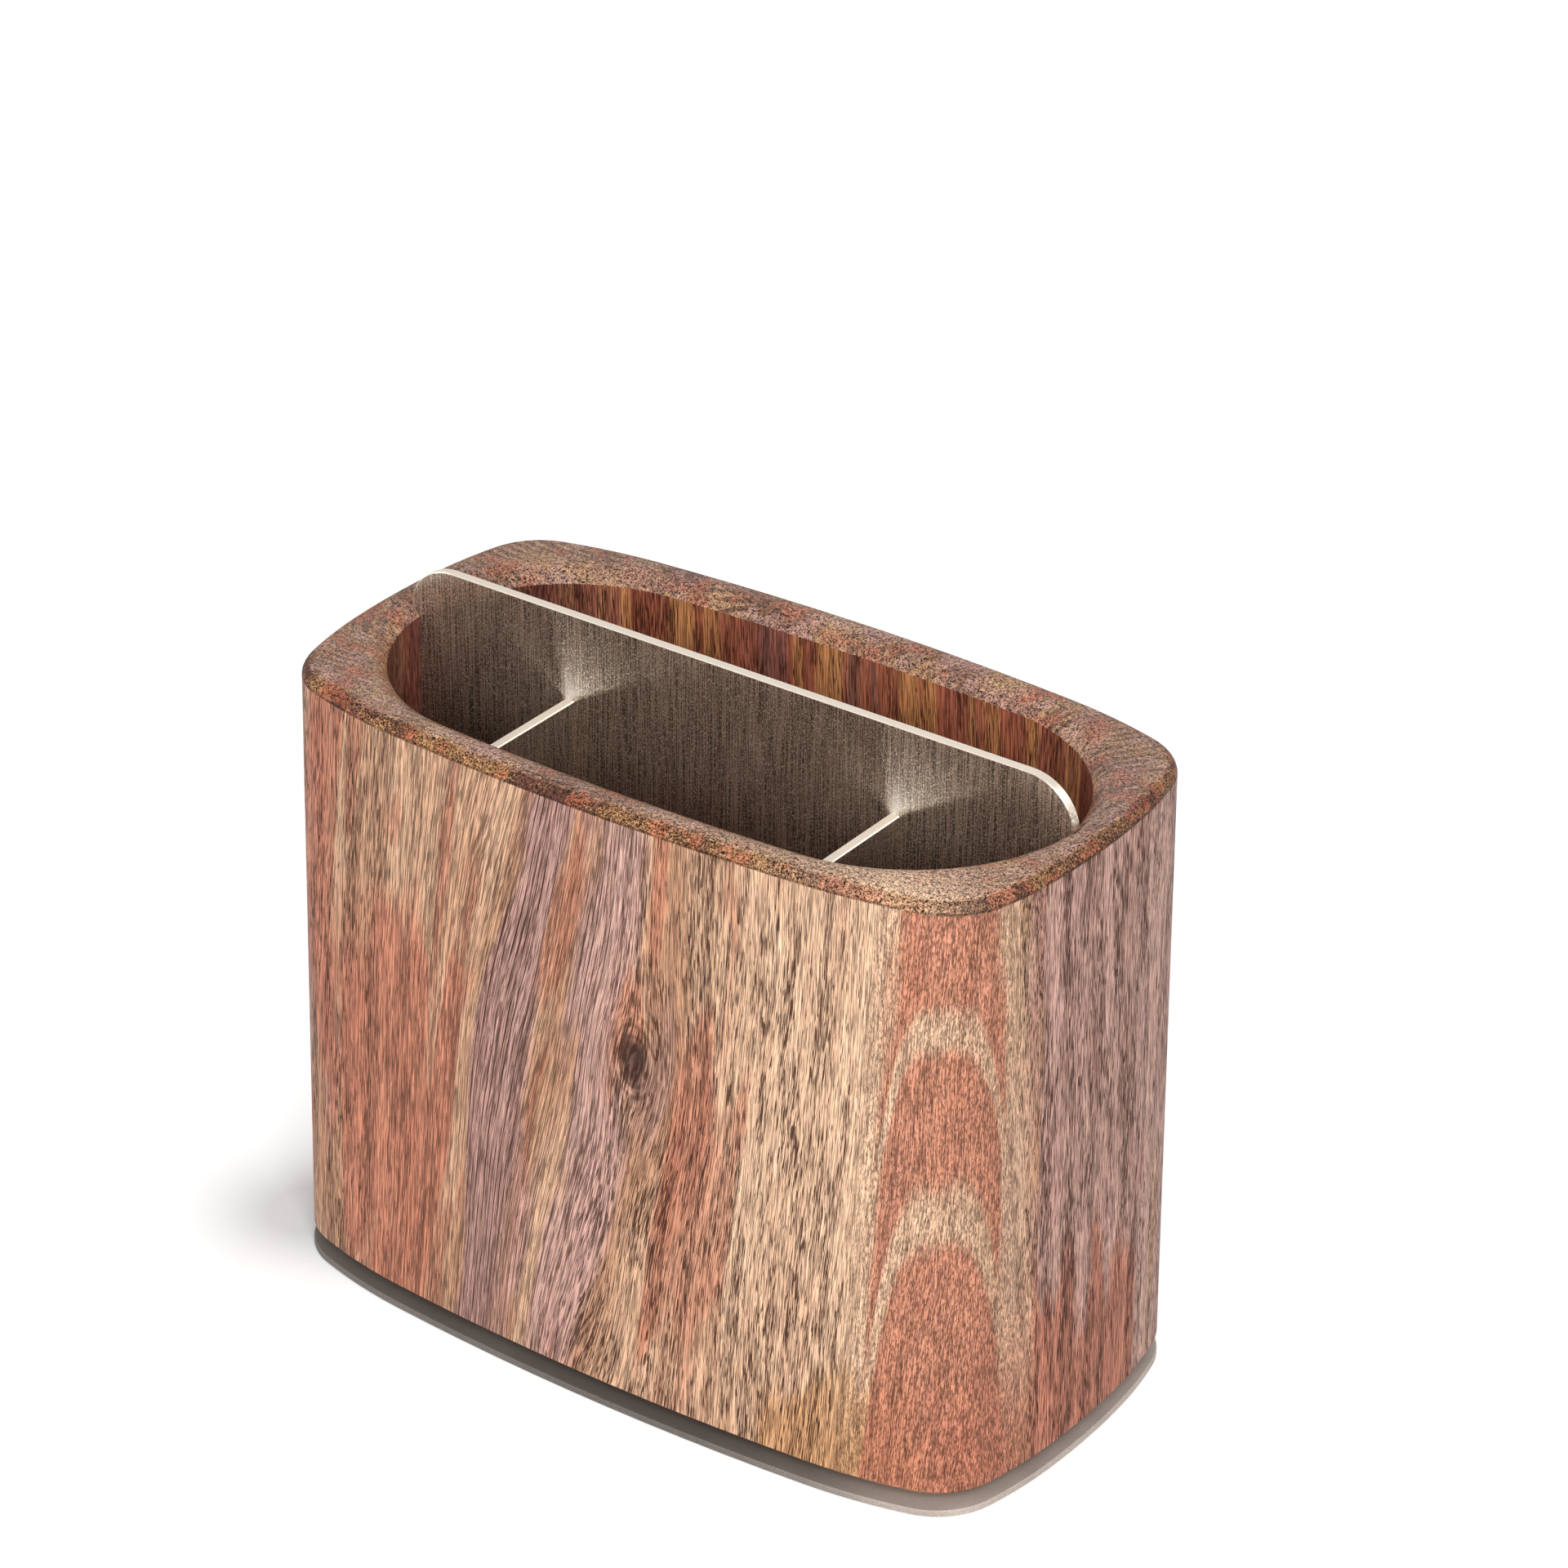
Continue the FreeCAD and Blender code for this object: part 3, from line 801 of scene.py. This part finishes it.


# %% [markdown]
# ### The divider
# Its three plates were cut from the sheet, so their edges are ground and paler. Above each joint the long
# plate's front face gets a pale fan, a painted reflection laid over the real one, and the upper part is a
# little less metallic, so the lamps show it lighter: painted light. These could be painted on a picture of
# the plate, but a few sums say where they are and stay sharp at any size.

# %% Divider
DIVIDER_COLOUR = (0.88, 0.72, 0.56)
DIVIDER_ROUGHNESS = 0.42
DIVIDER_METALLIC = 0.96
CUT_EDGE = (0.80, 0.71, 0.61)
TOP_EDGE = (0.3, 0.6)
JOINT_X = 45.8                      # the cross plates meet the long one here
JOINT_Z = 147.3
FAN_SLOPE = 0.55                    # a fan lies above a slanting line ...
FAN_FLOOR = (-0.8, 1.2)
FAN_LEAN = 0.15                     # ... and to the right of a leaning one
FAN_LEFT = (-3.0, 0.5)
FAN_FRONT = (0.0, -0.5)
BLOOM_ACROSS = 0.060                # how fast it fades, for each millimetre
BLOOM_UP = 0.075
FAN_HIGHLIGHT_METALLIC = 0.20
CORE_FADE = 0.15
FAN_HIGHLIGHT_COLOUR = (0.90, 0.84, 0.76)
# Painted light: higher up the plates are less metallic, so the lamps show them lighter.
TOP_LIGHT_HEIGHTS = (105.0, 168.0)
TOP_LIGHT_METALLIC = 0.07                # less than elsewhere


def painted_fan_reflections(tree, point, toward_back, fans):
    """The wide glow and the bright middle of the fans, a painted reflection."""
    x, y, z = point
    reflection_bloom = 0.0
    reflection_core = 0.0
    for fan_x, fan_z in fans:
        across = subtract(tree, x, fan_x)
        up = subtract(tree, z, fan_z)
        above = step(tree, subtract(tree, up, times(tree, across, FAN_SLOPE)), *FAN_FLOOR)
        above = times(tree, above, step(tree, toward_back, *FAN_FRONT))
        right = step(tree, add(tree, across, times(tree, up, FAN_LEAN)), *FAN_LEFT)
        part = times(tree, above, right)
        near = bell(tree, times(tree, across, BLOOM_ACROSS), times(tree, up, BLOOM_UP))
        close = bell(tree, times(tree, across, CORE_FADE), times(tree, up, CORE_FADE))
        reflection_bloom = add(tree, reflection_bloom, times(tree, part, near))
        reflection_core = add(tree, reflection_core, times(tree, part, close))
    return reflection_bloom, reflection_core


def divider_steel(name, fans=()):
    """Brushed steel with ground edges, fans of painted reflection at (x, z) and painted light up high."""
    material, tree, shader, shade = brushed_steel(name, DIVIDER_COLOUR, DIVIDER_ROUGHNESS, spread=1.0,
                                                  metallic=DIVIDER_METALLIC)
    point = place_in_mm(tree)
    normal_x, normal_y, normal_z = split(tree, surface_normal(tree))
    shade = blend(tree, step(tree, normal_z, *TOP_EDGE), shade, CUT_EDGE)
    # Painted reflection: pale fans above the joints, on the front face only.
    reflection_bloom, reflection_core = painted_fan_reflections(tree, point, normal_y, fans)
    feed(tree, shader.inputs["Base Color"], blend(tree, reflection_core, shade, FAN_HIGHLIGHT_COLOUR))
    # Painted light on the upper part, by less metal there.
    top_light = step(tree, point[2], *TOP_LIGHT_HEIGHTS, DIVIDER_METALLIC, DIVIDER_METALLIC - TOP_LIGHT_METALLIC)
    feed(tree, shader.inputs["Metallic"], blend_number(tree, reflection_bloom, top_light, FAN_HIGHLIGHT_METALLIC))
    return material


joints = [(-JOINT_X, JOINT_Z), (JOINT_X, JOINT_Z)]
dress(divider_steel("long_plate_steel", fans=joints), "divider_long_plate")
dress(divider_steel("divider_steel"), "divider_cross_plate_left", "divider_cross_plate_right")

# %% [markdown]
# ### The base
# The base plate is dull dark sheet with hardly a scratch to be seen, and it is painted brighter towards the
# right end, a painted light where the key reaches it. Spacers and screws are plain bright steel under it,
# where little light comes.

# %% Base
BASE_COLOUR = (0.18, 0.158, 0.142)
BASE_SHINE = 0.2
PLAIN_COLOUR = (0.55, 0.54, 0.52)

base_steel, tree, shader, shade = brushed_steel("base_steel", BASE_COLOUR, roughness=0.55, spread=0.0,
                                                grain=0.05, painted_light=2.0, metallic=0.15)
shader.inputs["Specular IOR Level"].default_value = BASE_SHINE
plain_steel, tree, shader, shade = brushed_steel("plain_steel", PLAIN_COLOUR, roughness=0.35, spread=0.0,
                                                 grain=0.1)
dress(base_steel, "base_plate")
dress(plain_steel, "base_spacers", "base_screws")

# %% [markdown]
# ## The pads
# Thin rubber, moulded with a fine matt texture, under the base. They are hardly seen, so a few crumbs of
# noise are enough.

# %% Pads
RUBBER_DARK = (0.02, 0.02, 0.02)
RUBBER_LIGHT = (0.05, 0.05, 0.05)
RUBBER_CRUMBS_PER_MM = 2.0
RUBBER_ROUGHNESS = 0.65
CRUMB_ROUGHNESS = 0.2
RUBBER_RELIEF_METRES = 0.0001
RUBBER_RELIEF_STRENGTH = 0.5

rubber, tree, shader = new_material("pad_rubber")
speckle = crumbs(tree, place_in_mm(tree), RUBBER_CRUMBS_PER_MM, detail=4.0)
feed(tree, shader.inputs["Base Color"], blend(tree, speckle, RUBBER_DARK, RUBBER_LIGHT))
rough = add(tree, RUBBER_ROUGHNESS, times(tree, speckle, CRUMB_ROUGHNESS))
feed(tree, shader.inputs["Roughness"], rough)
feed(tree, shader.inputs["Normal"], bump(tree, speckle, RUBBER_RELIEF_METRES, RUBBER_RELIEF_STRENGTH))
dress(rubber, "non_slip_pads")

# %% [markdown]
# ## The floor
# The floor is white and runs on behind the caddy. It takes the soft shadow, and the camera sees it a
# little brighter than it is lit. More light would do that too, but it would bleach the wood. The glow is
# turned down beside the left end, where the caddy's shadow would otherwise be lost.

# %% Floor
FLOOR_SIZE = 6.0
PAPER = (0.82, 0.82, 0.82, 1.0)
PAPER_ROUGHNESS = 0.9
PAPER_SHINE = 0.1
WHITE = (1.0, 1.0, 1.0, 1.0)
FLOOR_GLOW = 0.50                   # added for the camera
FLOOR_GLOW_IN_SHADE = -0.10         # less beside the left end, and never below 0
SHADE_X = -104.0
SHADE_Y = -32.0
SHADE_REACH = 34.0


def seen_by_camera(tree):
    """1 for rays that the camera sees, straight, mirrored or through glass, and 0 for light."""
    rays = tree.nodes.new("ShaderNodeLightPath")
    seen = larger(tree, rays.outputs["Is Camera Ray"], rays.outputs["Is Glossy Ray"])
    return larger(tree, seen, rays.outputs["Is Transmission Ray"])


bpy.ops.mesh.primitive_plane_add(size=FLOOR_SIZE, location=(0.0, 0.0, 0.0))
floor = bpy.context.object
floor.name = "floor"
paper, tree, shader = new_material("floor_paper")
shader.inputs["Base Color"].default_value = PAPER
shader.inputs["Roughness"].default_value = PAPER_ROUGHNESS
shader.inputs["Specular IOR Level"].default_value = PAPER_SHINE
shader.inputs["Emission Color"].default_value = WHITE
x, y, z = place_in_mm(tree)
off_x = times(tree, subtract(tree, x, SHADE_X), 1 / SHADE_REACH)
off_y = times(tree, subtract(tree, y, SHADE_Y), 1 / SHADE_REACH)
glow = blend_number(tree, bell(tree, off_x, off_y), FLOOR_GLOW, FLOOR_GLOW_IN_SHADE)
glow = larger(tree, glow, 0.0)
feed(tree, shader.inputs["Emission Strength"], times(tree, seen_by_camera(tree), glow))
floor.data.materials.append(paper)
print("floor glow:", FLOOR_GLOW)

# %% [markdown]
# ## The light
# A white room all round gives plain light from everywhere, and the camera and the steel see it brighter,
# as they see the floor. One large soft box in front on the right gives the shadow its direction, and a
# weaker one on the left opens it. Small lamps would give hard shadows and hot spots on the steel.

# %% Room
ROOM_LIGHT = 0.5
ROOM_SEEN_BRIGHTER = 0.55

world = bpy.data.worlds.new("room")
bpy.context.scene.world = world
world.use_nodes = True
tree = world.node_tree
background = tree.nodes["Background"]
background.inputs["Color"].default_value = WHITE
brightness = add(tree, ROOM_LIGHT, times(tree, seen_by_camera(tree), ROOM_SEEN_BRIGHTER))
feed(tree, background.inputs["Strength"], brightness)
print("room light:", ROOM_LIGHT)

# %% Lamps
LAMP_AIM = Vector((0.0, 0.0, 0.08))


def soft_box(name, position, side, watts):
    """A large square lamp that faces the caddy."""
    data = bpy.data.lights.new(name, "AREA")
    data.shape = "RECTANGLE"
    data.size = side
    data.size_y = side
    data.energy = watts
    lamp = bpy.data.objects.new(name, data)
    bpy.context.scene.collection.objects.link(lamp)
    lamp.location = position
    lamp.rotation_euler = (LAMP_AIM - Vector(position)).to_track_quat("-Z", "Y").to_euler()
    print(name, "at", position, watts, "W")


soft_box("key", (0.85, -1.05, 0.95), side=0.7, watts=17.0)
soft_box("fill", (-0.4, -1.3, 0.9), side=0.9, watts=4.0)
bpy.context.scene.view_settings.view_transform = "Standard"
